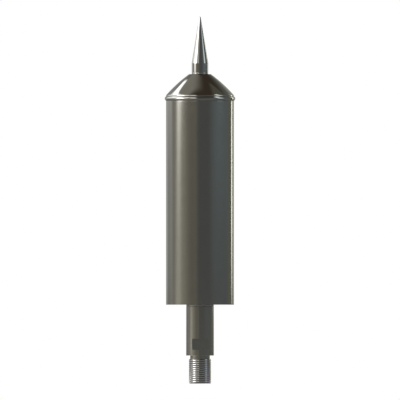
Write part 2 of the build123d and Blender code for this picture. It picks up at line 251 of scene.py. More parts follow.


# %% [markdown]
# ## The studio
#
# Polished steel shows its surroundings, so the studio is lit as a real one would be for it: a
# white background, a dark room, a large softbox at the left that hangs above the object, a
# narrow light behind at the right, and a small one high up behind the left shoulder. Area lamps
# could stand for them, but a lamp has the same hard edge all round, and these fade on each side
# in their own way. So the room is a shell that only reflections see, and its lights are soft
# windows of azimuth and elevation painted on it, which stay where they are when the camera goes
# round the object. A disc of paper round the foot glows with patches of painted light and
# brightens the undersides of the thread, and one soft lamp gives the floor its shadow.

# %% The white world and the floor
# The background shows pure white, but lights matt surfaces with less than that.
PLAIN_LIGHT = 0.62
FLOOR_SIZE = 6.0
FLOOR_GREY = 0.82
FLOOR_ROUGHNESS = 0.9
FLOOR_DROP = 0.05 * MM

world = bpy.data.worlds.new("white background")
world.use_nodes = True
bpy.context.scene.world = world
sky = Recipe(world.node_tree)
seen_directly = sky.node("ShaderNodeLightPath", output="Is Camera Ray")
seen_in_gloss = sky.node("ShaderNodeLightPath", output="Is Glossy Ray")
seen_through = sky.node("ShaderNodeLightPath", output="Is Transmission Ray")
seen = seen_directly.math("MAXIMUM", seen_in_gloss.math("MAXIMUM", seen_through))
strength = seen * (1 - PLAIN_LIGHT) + PLAIN_LIGHT
background = sky.node("ShaderNodeBackground", {}, {"Color": rgba(1.0), "Strength": strength})
sky.node("ShaderNodeOutputWorld", {}, {"Surface": background})

bpy.ops.mesh.primitive_plane_add(size=FLOOR_SIZE, location=(0, 0, stem_foot - FLOOR_DROP))
floor = bpy.context.active_object
floor.name = "floor"
floor_inputs = {
    "Base Color": rgba(FLOOR_GREY),
    "Roughness": FLOOR_ROUGHNESS,
    "Specular IOR Level": 0.0,
}
floor.data.materials.append(finish("pale floor", lambda place: floor_inputs))
floor.visible_glossy = False
print("floor at", floor.location.z)

# %% The room that the steel reflects
ROOM_RADIUS = 1.0
ROOM_SEGMENTS = 64
DARK_ROOM = (0.090, 0.094, 0.091)
DARK_CEILING = (0.048, 0.037, 0.027)
CEILING_FADE = (32, 60)
PANEL_COLOUR = (0.203, 0.203, 0.178)
PANEL_EDGE_X = (-0.30, 0.18)
PANEL_EDGE_Y = (-0.13, 0.03)
PANEL_FADE = (40, 56)
HALF_TURN = 180.0

# Each light: colour, then its left and right side and lowest and highest edge in degrees, each
# with its softness. Azimuth 0 is the camera's side and + is its right. A sixth value leans the
# light: its sides move that many degrees for each degree above its lowest edge.
ROOM_LIGHTS = {
    "left wall": ((0.054, 0.044, 0.023), (-100, 20), (-9, 7), (-30, 8), (50, 15)),
    "far left wall": ((0.050, 0.048, 0.040), (-200, 20), (-100, 20), (-100, 10), (50, 15)),
    "glow round the softbox": ((0.15, 0.145, 0.122), (-106, 36), (-49, 24), (-60, 20), (48, 15)),
    "key softbox": ((1.75, 1.75, 1.71), (-84, 6.5), (-70, 9), (9.5, 14), (43, 5)),
    "key softbox, lower part": ((0.115, 0.113, 0.103), (-90, 8), (-68, 8), (-30, 10), (8, 10)),
    "key softbox, upper part": ((1.5, 1.5, 1.46), (-84, 6), (-62, 8), (6.9, 1.2), (41, 4)),
    "key softbox, right part": ((1.5, 1.5, 1.46), (-75, 6), (-57, 10), (8.2, 1.2), (41, 4), 0.8),
    "key softbox, core": ((3.1, 3.1, 3.0), (-77, 5), (-54, 4), (14, 3), (26, 3)),
    "key softbox, right corner": ((0.9, 0.9, 0.87), (-57, 5), (-38, 6), (30, 3), (43, 4)),
    "softbox at the far left": ((1.1, 1.1, 1.07), (-144, 4), (-112, 8), (13, 14), (41, 4)),
    "foot of the far softbox": ((0.13, 0.13, 0.13), (-150, 6), (-107, 7), (-6, 5), (16, 5)),
    "gap between the softboxes": ((1.1, 1.1, 1.07), (-112, 8), (-86, 8), (13, 5), (40, 6)),
    "backdrop at the left": ((0.230, 0.225, 0.215), (-185, 5), (-143, 7), (-6, 2), (16, 14)),
    "backdrop at the left, upper part": (
        (0.15, 0.15, 0.145), (-185, 5), (-143, 7), (20, 10), (38, 12)
    ),
    "strip over the camera": ((0.40, 0.40, 0.40), (-32, 5), (-17, 5), (20, 5), (45, 4)),
    "strip over the camera, foot": ((1.0, 1.0, 0.94), (-33, 4), (-12, 5), (12, 2), (22, 2)),
    "strip over the camera, head": ((0.60, 0.60, 0.56), (-33, 4), (-12, 5), (31, 2), (43, 3)),
    "light over the front": ((0.65, 0.65, 0.62), (-85, 8), (-20, 8), (50, 4), (61, 3)),
    "right wall": ((0.034, 0.052, 0.062), (40, 16), (108, 10), (-4, 8), (35, 15)),
    "right wall, far part": ((0.040, 0.040, 0.010), (108, 10), (128, 5), (-30, 10), (20, 10)),
    "right wall, upper part": ((0.048, 0.056, 0.040), (86, 8), (125, 3), (40, 8), (68, 4)),
    "right wall, far upper part": ((0.030, 0.030, 0.022), (120, 8), (150, 5), (30, 10), (47, 4)),
    "strip at the right": ((0.66, 0.74, 0.76), (62, 5), (83, 6), (10, 4), (42, 5)),
    "glint over the strip": ((2.7, 2.9, 2.85), (74, 4), (99, 3), (53, 3), (62, 2)),
    "rim light": ((2.3, 2.3, 2.0), (134, 2), (140, 2), (-4, 4), (30, 10)),
    "backdrop at the right": ((0.235, 0.235, 0.190), (144, 3), (185, 5), (-6, 2), (30, 12)),
    "high softbox": ((1.6, 1.62, 1.65), (-150, 2), (-106, 6), (40, 1.6), (50.5, 2), 0.8),
    "high softbox, front end": ((1.3, 1.3, 1.28), (-127, 3), (-104, 4), (49, 2), (61, 2), 2.0),
    "pale ground far off": ((0.028, 0.026, 0.022), (-185, 5), (185, 5), (-100, 10), (-6.4, 1.2)),
}


def only_in_reflections(piece):
    """Hides a piece from everything but shiny surfaces."""
    piece.visible_camera = False
    piece.visible_diffuse = False
    piece.visible_transmission = False
    piece.visible_shadow = False
    piece.visible_volume_scatter = False


def azimuth_of(place):
    """Degrees round the upright axis: 0 towards the camera, + to the camera's right."""
    return axis_of(place, "X").math("ARCTAN2", axis_of(place, "Y") * -1) * degrees(1)


def paint_walls(place):
    """The dark walls and ceiling, a pale panel over the left back, and all the lights."""
    azimuth = azimuth_of(place)
    elevation = (axis_of(place, "Z") / ROOM_RADIUS).math("ARCSINE") * degrees(1)
    colour = mix_colours(smooth_step(elevation, *CEILING_FADE), DARK_ROOM, DARK_CEILING)
    to_left = 1 - smooth_step(axis_of(place, "X"), *PANEL_EDGE_X)
    to_back = smooth_step(axis_of(place, "Y"), *PANEL_EDGE_Y)
    panel = to_left * to_back * smooth_step(elevation, *PANEL_FADE)
    colour = mix_colours(panel, colour, PANEL_COLOUR, "ADD")
    for light, left, right, low, high, *lean in ROOM_LIGHTS.values():
        middle = (left[0] + right[0]) / 2
        half = (right[0] - left[0]) / 2
        aside = azimuth - middle
        if lean:
            aside = aside - (elevation - low[0]) * lean[0]
        turn = aside.math("WRAP", HALF_TURN, -HALF_TURN)
        sideways = window(turn, -half, half, left[1], right[1])
        upright = window(elevation, low[0], high[0], low[1], high[1])
        colour = mix_colours(sideways * upright, colour, light, "ADD")
    return colour


def build_room():
    """The shell round the studio, with its lights painted by azimuth and elevation."""
    bpy.ops.mesh.primitive_uv_sphere_add(
        segments=ROOM_SEGMENTS, ring_count=ROOM_SEGMENTS // 2, radius=ROOM_RADIUS,
        location=(0, 0, picture_middle),
    )
    room = bpy.context.active_object
    room.name = "room"
    room.data.materials.append(glow("room walls", paint_walls))
    only_in_reflections(room)
    for face in room.data.polygons:
        face.use_smooth = True


build_room()
print("room lights:", ", ".join(ROOM_LIGHTS))

# %% The paper at the foot, with painted light
PAPER_RADIUS = 45.0 * MM
PAPER_SIDES = 64
PAPER_DROP = 0.02 * MM
PAPER_DIM = (0.18, 0.175, 0.175)

# Each patch of light painted on the paper: colour, then two sides and their softness in degrees.
PAPER_LIGHTS = {
    "grey light at the left": ((0.46, 0.46, 0.46), (-110, -30, 10, 12)),
    "white light at the far left": ((1.30, 1.30, 1.28), (-128, -92, 8, 10)),
    "violet light at the right": ((0.32, 0.25, 0.42), (60, 100, 10, 10)),
}


def paint_paper(place):
    """Dim paper with three soft patches of painted light, by the angle round the foot."""
    azimuth = azimuth_of(place)
    colour = PAPER_DIM
    for light, sides in PAPER_LIGHTS.values():
        colour = mix_colours(window(azimuth, *sides), colour, light)
    return colour


def build_paper():
    """A disc of paper round the foot that glows with painted light, which only reflections see."""
    bpy.ops.mesh.primitive_circle_add(
        vertices=PAPER_SIDES, radius=PAPER_RADIUS, fill_type="NGON",
        location=(0, 0, stem_foot - PAPER_DROP),
    )
    paper = bpy.context.active_object
    paper.name = "paper"
    # The paper glows with painted light; no lamp lights it.
    material = glow("paper with painted light", paint_paper)
    material.cycles.emission_sampling = "NONE"
    paper.data.materials.append(material)
    only_in_reflections(paper)


build_paper()
print("paper lights:", ", ".join(PAPER_LIGHTS))

# %% One soft lamp, for the floor's shadow and the plastics
LAMP_DIRECTION = Vector((-0.6, -0.5, 1.1))
LAMP_DISTANCE = 1.4
LAMP_SIZE = 1.0
LAMP_POWER = 14.0

lamp_data = bpy.data.lights.new("soft lamp", "AREA")
lamp_data.size = LAMP_SIZE
lamp_data.energy = LAMP_POWER
lamp = bpy.data.objects.new("soft lamp", lamp_data)
lamp.location = LAMP_DIRECTION.normalized() * LAMP_DISTANCE
lamp.rotation_euler = lamp.location.to_track_quat("Z", "Y").to_euler()
lamp.visible_glossy = False
bpy.context.scene.collection.objects.link(lamp)
print("lamp at", [round(v, 2) for v in lamp.location])

# %% [markdown]
# ## Turned pieces
#
# The tube, the cap, the spike and the stem are lathe work, the two rings between them are just
# as round, and a reflection shows every flaw in a round surface. They could stay as the solids'
# triangles, but then the edges are knife sharp and the thread is missing. Each is spun here from
# its outline instead: a list of corners, each with its radius, height and rounding, swept round
# the axis in fine steps. Beside each rounding goes a support point, which keeps the bend of the
# shading inside the rounding.

# %% From corners to an outline
FILLET_STEPS = 5
SUPPORT = 0.3 * MM


def rounded_corner(before, corner, after, rounding):
    """The points of one rounded corner, with a support point on each side."""
    towards, onwards = before - corner, after - corner
    room_before, room_after = towards.length, onwards.length
    towards.normalize()
    onwards.normalize()
    half_angle = towards.angle(onwards) / 2
    reach = rounding / tan(half_angle)
    middle = corner + (towards + onwards).normalized() * rounding / sin(half_angle)
    first, last = corner + towards * reach, corner + onwards * reach
    start, end = (first - middle).normalized(), (last - middle).normalized()
    steps = range(FILLET_STEPS + 1)
    arc = [middle + start.slerp(end, step / FILLET_STEPS) * rounding for step in steps]
    lead_in = first + towards * min(SUPPORT, (room_before - reach) / 2)
    lead_out = last + onwards * min(SUPPORT, (room_after - reach) / 2)
    return [lead_in] + arc + [lead_out]


def outline(corners):
    """Turns (radius, height) or (radius, height, rounding) corners into a row of points."""
    spots = [Vector(corner[:2]) for corner in corners]
    points = []
    for index, corner in enumerate(corners):
        if len(corner) == 2:
            points.append(spots[index])
        else:
            following = spots[(index + 1) % len(spots)]
            points += rounded_corner(spots[index - 1], spots[index], following, corner[2])
    return points


def arc_points(start, end, radius, steps):
    """The points between two ends of an arc that bulges outwards."""
    start, end = Vector(start), Vector(end)
    chord = end - start
    outward = Vector((-chord.y, chord.x)).normalized()
    if outward.x < 0:
        outward.negate()
    middle = (start + end) / 2 - outward * (radius**2 - (chord.length / 2) ** 2) ** 0.5
    first, last = (start - middle).normalized(), (end - middle).normalized()
    return [tuple(middle + first.slerp(last, step / steps) * radius) for step in range(1, steps)]


# %% From an outline to a mesh
TURN_STEPS = 192
WELD = 0.0005 * MM
CREASE = radians(35)


def even_angles():
    """The angles of the columns of a round piece, from 0 to a whole turn."""
    return [2 * pi * step / TURN_STEPS for step in range(TURN_STEPS + 1)]


def ring_row(point):
    """A row at one radius and height all round."""
    return lambda angle: (point[0], point[1])


def spin(name, rows, angles, material, node):
    """Sweeps a closed list of rows round the axis and lets the mesh stand for a node."""
    shape = bmesh.new()
    on_axis = [spot_at(0.0)[0] == 0 for spot_at in rows]
    columns = []
    for angle in angles:
        spots = [spot_at(angle) for spot_at in rows]
        columns.append([shape.verts.new((r * cos(angle), r * sin(angle), z)) for r, z in spots])
    for left, right in zip(columns, columns[1:]):
        for row in range(len(rows)):
            if not (on_axis[row - 1] and on_axis[row]):
                shape.faces.new((left[row - 1], right[row - 1], right[row], left[row]))
    bmesh.ops.remove_doubles(shape, verts=shape.verts, dist=WELD)
    bmesh.ops.recalc_face_normals(shape, faces=shape.faces)
    for face in shape.faces:
        face.smooth = True
    mesh = bpy.data.meshes.new(name)
    shape.to_mesh(mesh)
    shape.free()
    mesh.set_sharp_from_angle(angle=CREASE)
    mesh.materials.append(material)
    piece = bpy.data.objects.new(name, mesh)
    bpy.context.scene.collection.objects.link(piece)
    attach(piece, "root")
    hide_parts(node)
    print(name, "faces", len(mesh.polygons))
    return piece


def spin_round(name, corners, material, node):
    """Spins a piece that is round all over from its corners."""
    rows = [ring_row(point) for point in outline(corners)]
    return spin(name, rows, even_angles(), material, node)


# %% [markdown]
# ## Finishes
#
# Every finish reads the place on the object itself, in metres, so a line on the tube has a real
# width. Ground and turned steel carries very fine lines round the axis: noise that changes slowly
# round the piece and quickly along it gives them. They go into the roughness and, very shallow,
# into a Bump node. Wider, weaker clouds keep the surface from looking like one flat colour.

# %% Helpers for finishes
# A noise node has about this many waves to the unit.
NOISE_WAVES = 5.0


def stretched_noise(place, waves, detail=2.0):
    """Soft noise from 0 to 1, with its own waves per metre along each axis."""
    scale = [count / NOISE_WAVES for count in waves]
    spot = place.recipe.node("ShaderNodeMapping", {}, {"Vector": place, "Scale": scale})
    inputs = {"Vector": spot, "Scale": NOISE_WAVES, "Detail": detail}
    return place.recipe.node("ShaderNodeTexNoise", {}, inputs)


def even_noise(place, waves, detail=2.0):
    """Soft noise from 0 to 1, with the same waves per metre every way."""
    return stretched_noise(place, (waves, waves, waves), detail)


def distance_from_axis(place):
    """How far a place is from the upright axis, in metres."""
    x, y = axis_of(place, "X"), axis_of(place, "Y")
    return (x * x + y * y) ** 0.5


def angle_round_axis(place):
    """The angle of a place round the upright axis, in radians."""
    return axis_of(place, "Y").math("ARCTAN2", axis_of(place, "X"))


def ripple(phase):
    """A wave from 0 to 1 that comes back with every whole turn of its phase."""
    return phase.math("SINE") * 0.5 + 0.5


def bumped(height, depth):
    """A normal bent by a height, with its depth in metres."""
    return height.recipe.node("ShaderNodeBump", {}, {"Height": height, "Distance": depth})


# %% [markdown]
# ## Steel finishes
#
# The tube and the stem are ground, the cap and the spike are turned and then polished, the
# spanner flats are milled, the thread is rolled, which burnishes its crests, and the hidden rods
# and nuts are plain bright stock. All are the same steel, so the recipe is the same and only its
# shade, its lines and its roughness differ. The thread alone has light and shade painted in: its
# steel is lighter than the ground stem's, partly for the burnish and partly as a painted highlight
# on its crests, and a darker colour in its root is painted shade. Painting the other highlights
# would look right from one side only, so they are left to the studio.

# %% One recipe for every steel
LINE_SHARE = 0.4
STEEL_CLOUDS = (125.0, 125.0, 90.0)
ROOT_TO_CREST = (9.5 * MM, 9.8 * MM)


def steel(name, tint, shade, roughness, spread, lines_per_metre, line_depth, root_shade=None):
    """Steel between two close colours, with tool lines that follow a stretched noise.

    A thread also gets painted shade: a darker colour in its root that fades out towards its
    crests."""
    def paint(place):
        lines = stretched_noise(place, lines_per_metre, detail=3.0)
        clouds = stretched_noise(place, STEEL_CLOUDS)
        colour = mix_colours(clouds * (1 - LINE_SHARE) + lines * LINE_SHARE, shade, tint)
        # Painted shade: the thread's root is darkened, fading out towards the crests.
        if root_shade:
            crests = smooth_step(distance_from_axis(place), *ROOT_TO_CREST)
            colour = mix_colours(crests, root_shade, colour)
        return {
            "Base Color": colour,
            "Metallic": 1.0,
            "Roughness": (lines - 0.5) * spread + (clouds - 0.5) * (spread / 2) + roughness,
            "Normal": bumped(lines, line_depth),
        }

    return finish(name, paint)


# %% The five steels
LIGHT_STEEL = (0.60, 0.585, 0.555)
DARK_STEEL = (0.54, 0.53, 0.505)
GROUND_LINES = (150.0, 150.0, 41500.0)
POLISH_LINES = (150.0, 150.0, 62500.0)
MILLING_LINES = (12500.0, 300.0, 300.0)
STOCK_LINES = (4500.0, 4500.0, 200.0)

SATIN = steel(
    "satin steel", tint=LIGHT_STEEL, shade=DARK_STEEL,
    roughness=0.135, spread=0.09, lines_per_metre=GROUND_LINES, line_depth=0.0007 * MM,
)
POLISHED = steel(
    "polished steel", tint=(0.63, 0.62, 0.60), shade=(0.58, 0.57, 0.55),
    roughness=0.05, spread=0.03, lines_per_metre=POLISH_LINES, line_depth=0.0004 * MM,
)
MILLED = steel(
    "milled steel", tint=LIGHT_STEEL, shade=DARK_STEEL,
    roughness=0.22, spread=0.12, lines_per_metre=MILLING_LINES, line_depth=0.003 * MM,
)
STOCK = steel(
    "plain steel", tint=(0.58, 0.58, 0.57), shade=(0.46, 0.46, 0.45),
    roughness=0.34, spread=0.16, lines_per_metre=STOCK_LINES, line_depth=0.004 * MM,
)
# Lighter steel here is partly a painted highlight on the crests; the dark root is painted shade.
ROLLED = steel(
    "rolled thread with painted root shade", tint=(0.79, 0.785, 0.77), shade=(0.74, 0.735, 0.72), root_shade=(0.36, 0.36, 0.35),
    roughness=0.10, spread=0.06, lines_per_metre=GROUND_LINES, line_depth=0.001 * MM,
)

# %% [markdown]
# ## Brass and copper
#
# The plates and the electrodes of the spark gaps are turned from brass, and the spring is wound
# from the same alloy. Handling darkens bare brass in soft patches, so the recipe moves between a
# bright and a dull colour. The transformer's winding is enamelled copper wire laid side by side
# round the core: a wave in the angle round the axis shows the wires without a mesh for each. The
# same wave paints each wire lighter on its top and darker where it meets the next, as painted
# sheen and painted shade.

# %% Turned brass
BRASS_BRIGHT = (0.78, 0.62, 0.30)
BRASS_DULL = (0.56, 0.42, 0.20)
BRASS_LINE = 0.35 * MM
BRASS_LINE_DEPTH = 0.004 * MM
BRASS_PATCHES = 300.0
DULL_FROM_TO = (0.45, 0.70)


def turned_brass(place):
    """Brass with tool lines in rings and soft patches where it has dulled."""
    along_cut = distance_from_axis(place) + axis_of(place, "Z")
    rings = ripple(along_cut * (2 * pi / BRASS_LINE))
    dull = smooth_step(even_noise(place, BRASS_PATCHES, detail=4.0), *DULL_FROM_TO)
    return {
        "Base Color": mix_colours(dull, BRASS_BRIGHT, BRASS_DULL),
        "Metallic": 1.0,
        "Roughness": dull * 0.16 + rings * 0.05 + 0.22,
        "Normal": bumped(rings, BRASS_LINE_DEPTH),
    }


BRASS = finish("turned brass", turned_brass)

# %% Enamelled copper wire
WIRES_ROUND = 150
WIRE_DEPTH = 0.12 * MM
WIRE_PATCHES = 1500.0
WIRE_PAINTED_SHADE = (0.30, 0.11, 0.05)
WIRE_PAINTED_SHEEN = (0.72, 0.36, 0.18)


def copper_winding(place):
    """Copper wires side by side round the core, under a clear enamel."""
    wires = ripple(angle_round_axis(place) * WIRES_ROUND)
    patches = even_noise(place, WIRE_PATCHES)
    return {
        # Painted sheen and shade: each wire is lighter on its top and darker where it meets the
        # next.
        "Base Color": mix_colours(wires * (patches * 0.4 + 0.6), WIRE_PAINTED_SHADE, WIRE_PAINTED_SHEEN),
        "Metallic": 0.9,
        "Roughness": 0.42 - wires * 0.14,
        "Coat Weight": wires * 0.5,
        "Coat Roughness": 0.12,
        "Normal": bumped(wires, WIRE_DEPTH),
    }


COPPER = finish("copper winding", copper_winding)

# %% [markdown]
# ## Plastics, rubber and ceramic
#
# The two thin rings that part the cap and the stem from their neighbours are moulded in a plastic
# that is full of fine metal flakes: nearly as bright as the steel, only softer in its
# reflections. The recipe is therefore almost metallic, with a noise of flakes. The parts inside
# are plain technical plastics. Each gets the grain that its making leaves: sink and flow in
# moulded pieces, a wrap's overlaps on the liner, talc on the rubber.

# %% A recipe for moulded plastics and rubber
MOULD_CLOUDS = (225.0, 225.0, 150.0)


def moulded(name, light, dark, metallic, roughness, grain_width, grain_depth):
    """A moulded surface: soft clouds in the colour and a fine grain in roughness and relief."""
    def paint(place):
        grain = even_noise(place, 1 / grain_width, detail=3.0)
        clouds = stretched_noise(place, MOULD_CLOUDS, detail=3.0)
        return {
            "Base Color": mix_colours(clouds * 0.5 + grain * 0.5, dark, light),
            "Metallic": metallic,
            "Roughness": (grain - 0.5) * 0.12 + (clouds - 0.5) * 0.08 + roughness,
            "Normal": bumped(grain, grain_depth),
        }

    return finish(name, paint)


RING_PLASTIC = moulded(
    "silver grey plastic", light=(0.60, 0.60, 0.58), dark=(0.52, 0.52, 0.50),
    metallic=0.9, roughness=0.17, grain_width=0.05 * MM, grain_depth=0.001 * MM,
)
RUBBER = moulded(
    "seal rubber", light=(0.045, 0.045, 0.047), dark=(0.020, 0.020, 0.021),
    metallic=0.0, roughness=0.62, grain_width=0.06 * MM, grain_depth=0.01 * MM,
)
INSULATOR = moulded(
    "cream insulator", light=(0.77, 0.72, 0.60), dark=(0.70, 0.64, 0.51),
    metallic=0.0, roughness=0.42, grain_width=0.1 * MM, grain_depth=0.008 * MM,
)
FERRITE = moulded(
    "ferrite", light=(0.105, 0.10, 0.10), dark=(0.055, 0.055, 0.06),
    metallic=0.25, roughness=0.55, grain_width=0.07 * MM, grain_depth=0.02 * MM,
)

# %% The wound liner
WRAP_PITCH = 9.0 * MM
WRAP_EDGE = 0.05
WRAP_DEPTH = 0.05 * MM
FILM_CLOUDS = (400.0, 400.0, 125.0)
FILM_DARK = (0.70, 0.48, 0.19)
FILM_LIGHT = (0.82, 0.64, 0.33)
FILM_EDGE = (0.52, 0.32, 0.11)


def wound_liner(place):
    """Amber film wound as a band, so that each turn's edge shows as a fine slanting step."""
    wound = axis_of(place, "Z") / WRAP_PITCH + angle_round_axis(place) / (2 * pi)
    turn = wound.math("FRACT")
    edge = 1 - smooth_step(turn, 0.0, WRAP_EDGE)
    clouds = stretched_noise(place, FILM_CLOUDS, detail=4.0)
    film = mix_colours(clouds, FILM_DARK, FILM_LIGHT)
    return {
        "Base Color": mix_colours(edge * 0.6, film, FILM_EDGE),
        "Roughness": clouds * 0.12 + edge * 0.15 + 0.24,
        "Normal": bumped(turn, WRAP_DEPTH),
    }


LINER = finish("amber liner", wound_liner)

# %% The glazed gap tubes
GLAZE_WAVES = (700.0, 700.0, 450.0)
GLAZE_DEPTH = 0.03 * MM
SPECKS_PER_METRE = 7500.0
SPECK_FROM_TO = (0.70, 0.78)
SPECK_COLOUR = (0.45, 0.40, 0.34)
CERAMIC_GREY = (0.84, 0.83, 0.79)
CERAMIC_WHITE = (0.90, 0.89, 0.87)


def glazed_ceramic(place):
    """White ceramic under a clear glaze that gathers in soft waves."""
    waves = stretched_noise(place, GLAZE_WAVES)
    specks = smooth_step(even_noise(place, SPECKS_PER_METRE, detail=1.0), *SPECK_FROM_TO)
    body = mix_colours(waves, CERAMIC_GREY, CERAMIC_WHITE)
    return {
        "Base Color": mix_colours(specks * 0.5, body, SPECK_COLOUR),
        "Roughness": waves * 0.10 + 0.12,
        "Coat Weight": 0.7 - specks * 0.3,
        "Coat Roughness": 0.04,
        "Normal": bumped(waves, GLAZE_DEPTH),
    }


CERAMIC = finish("glazed ceramic", glazed_ceramic)

# %% [markdown]
# ## The boards and what stands on them
#
# A circuit board is glass cloth in green resin: the weave shows faintly through, and the sawn
# edge is paler. The capacitors are aluminium cans in a blue sleeve, open at the top, and the
# resistors are lacquered, with plated end caps. Where a piece changes from one finish to another,
# the object's own normal or the place along the piece tells them apart, so no extra mesh is
# needed.

# %% Masks from the way a surface faces
UPRIGHT_TO_FLAT = (0.55, 0.80)


def facing_up(place):
    """1 on the flat tops and undersides, 0 on the upright sides."""
    normal = place.recipe.node("ShaderNodeTexCoord", output="Normal")
    return smooth_step(abs(axis_of(normal, "Z")), *UPRIGHT_TO_FLAT)


# %% Circuit board
WEAVE = 0.45 * MM
WEAVE_DEPTH = 0.006 * MM
RESIN_CLOUDS = 450.0
RESIN_DARK = (0.07, 0.29, 0.12)
RESIN_LIGHT = (0.12, 0.40, 0.19)
SAWN_EDGE = (0.55, 0.58, 0.36)


def circuit_board(place):
    """Green laminate with its glass weave, and a paler sawn edge."""
    warp, weft = [(axis_of(place, axis) * (pi / WEAVE)).math("SINE") for axis in "XY"]
    weave = warp * weft * 0.5 + 0.5
    flat = facing_up(place)
    clouds = even_noise(place, RESIN_CLOUDS)
    green = mix_colours(weave * 0.5 + clouds * 0.5, RESIN_DARK, RESIN_LIGHT)
    return {
        "Base Color": mix_colours(flat, SAWN_EDGE, green),
        "Roughness": 0.62 - flat * 0.30 + weave * 0.05,
        "Coat Weight": flat * 0.3,
        "Coat Roughness": 0.15,
        "Normal": bumped(weave * flat, WEAVE_DEPTH),
    }


BOARD = finish("board laminate", circuit_board)

# %% Capacitors in their sleeves
SLEEVE_CREASES = (2000.0, 2000.0, 300.0)
CREASE_DEPTH = 0.02 * MM
SLEEVE_DARK = (0.07, 0.15, 0.38)
SLEEVE_LIGHT = (0.13, 0.25, 0.52)
BARE_ALUMINIUM = (0.80, 0.80, 0.79)


def sleeved_can(place):
    """A blue shrink sleeve with a bare aluminium top."""
    bare = facing_up(place)
    creases = stretched_noise(place, SLEEVE_CREASES, detail=3.0)
    sleeve = mix_colours(creases, SLEEVE_DARK, SLEEVE_LIGHT)
    return {
        "Base Color": mix_colours(bare, sleeve, BARE_ALUMINIUM),
        "Metallic": bare,
        "Roughness": creases * 0.10 + bare * 0.08 + 0.20,
        "Coat Weight": 0.4 - bare * 0.4,
        "Coat Roughness": 0.10,
        "Normal": bumped(creases, CREASE_DEPTH),
    }


CAPACITOR = finish("capacitor can", sleeved_can)

# %% Lacquered resistors
RESISTOR_COUNT = 6
RING_GAP = 1.6 * MM
RING_FROM_TO = (0.45, 0.65)
END_CAP = 4.2 * MM
END_CAP_EDGE = 0.1 * MM
LACQUER_CLOUDS = 2500.0
LACQUER_DEPTH = 0.02 * MM
LACQUER_DARK = (0.38, 0.24, 0.15)
LACQUER_LIGHT = (0.50, 0.34, 0.23)
RING_PAINT = (0.16, 0.08, 0.05)
END_CAP_METAL = (0.74, 0.73, 0.71)


def lacquered_resistor(place):
    """Brown lacquer with plain rings, between two plated end caps.

    The resistors lie round the axis, each across the middle of its own share of the turn."""
    share = 2 * pi / RESISTOR_COUNT
    turn = angle_round_axis(place).math("WRAP", share / 2, -share / 2)
    along = turn.math("SINE") * distance_from_axis(place)
    rings = smooth_step((along * (2 * pi / RING_GAP)).math("COSINE"), *RING_FROM_TO)
    caps = smooth_step(abs(along), END_CAP - END_CAP_EDGE, END_CAP)
    clouds = even_noise(place, LACQUER_CLOUDS, detail=3.0)
    lacquer = mix_colours(clouds, LACQUER_DARK, LACQUER_LIGHT)
    ringed = mix_colours(rings, lacquer, RING_PAINT)
    return {
        "Base Color": mix_colours(caps, ringed, END_CAP_METAL),
        "Metallic": caps,
        "Roughness": clouds * 0.12 + 0.20,
        "Coat Weight": 0.5 - caps * 0.5,
        "Coat Roughness": 0.08,
        "Normal": bumped(clouds, LACQUER_DEPTH),
    }


RESISTOR = finish("lacquered resistor", lacquered_resistor)

# %% [markdown]
# ## Every solid gets its finish
#
# The record says which finish each solid takes. One table turns those slots into the materials
# above, so a solid that is added to the model later only needs its slot to be in the table.

# %% Give each node its material
FINISH_OF_SLOT = {
    "satin_steel": SATIN,
    "polished_steel": POLISHED,
    "plain_steel": STOCK,
    "bush_plastic": RING_PLASTIC,
    "seal_rubber": RUBBER,
    "insulator_plastic": INSULATOR,
    "liner_plastic": LINER,
    "board_laminate": BOARD,
    "capacitor_can": CAPACITOR,
    "resistor_lacquer": RESISTOR,
    "core_ferrite": FERRITE,
    "winding_copper": COPPER,
    "plate_brass": BRASS,
    "gap_ceramic": CERAMIC,
}

for name, node in nodes.items():
    node.data.materials.clear()
    node.data.materials.append(FINISH_OF_SLOT[slot_of[name]])
print("finished nodes:", len(nodes))

# %% [markdown]
# ## The housing tube
#
# On the real thing this is a length of bright tube with its ends faced in a lathe. The lower edge
# is left crisp, with only a breath of rounding that catches a line of light. Inside, the mouth is
# bevelled so that the cap's seal slides in, and the foot is recessed for the plug that closes it.

# %% Spin the tube
TUBE_WALL = 2.0 * MM
TUBE_EDGE = 0.15 * MM
TUBE_TOP_EDGE = 0.05 * MM
MOUTH_BEVEL = 0.5 * MM
FOOT_RECESS = 1.0 * MM
FOOT_RECESS_HEIGHT = 4.0 * MM

bore = housing_radius - TUBE_WALL
tube_corners = [
    (bore + FOOT_RECESS, housing_foot),
    (housing_radius, housing_foot, TUBE_EDGE),
    (housing_radius, housing_top, TUBE_TOP_EDGE),
    (bore + MOUTH_BEVEL, housing_top),
    (bore, housing_top - MOUTH_BEVEL),
    (bore, housing_foot + FOOT_RECESS_HEIGHT),
    (bore + FOOT_RECESS, housing_foot + FOOT_RECESS_HEIGHT),
]
spin_round("tube", tube_corners, SATIN, "housing_tube")

# %% [markdown]
# ## The cap
#
# The cap takes the most skill on the lathe: a small land for the spike, a long convex flank, a
# rounded rim, and a half-round bead just above the tube, with a hollowed spigot below that
# carries the seal's groove. The flank is one large arc, not a cone, and only an arc draws the
# long curved streaks that the photograph shows.

# %% Spin the cap
CAP_LAND = 9.8 * MM
CAP_HOLE = 6.5 * MM
FLANK_RADIUS = 125.0 * MM
FLANK_STEPS = 28
RIM_HEIGHT = 5.1 * MM
RIM_ROUNDING = 1.5 * MM
LAND_ROUNDING = 0.15 * MM
BEAD_HEIGHT = 4.1 * MM
BEAD_PROUD = 1.25 * MM
BEAD_STEPS = 20
SPIGOT_RADIUS = 28.6 * MM
SPIGOT_BORE = 25.1 * MM
SPIGOT_BEVEL = 0.3 * MM
GROOVE_FLOOR = 27.1 * MM
GROOVE_LOW = 2.9 * MM
GROOVE_HIGH = 5.1 * MM
CAP_PLATE = 6.0 * MM
INNER_LAND = 10.5 * MM

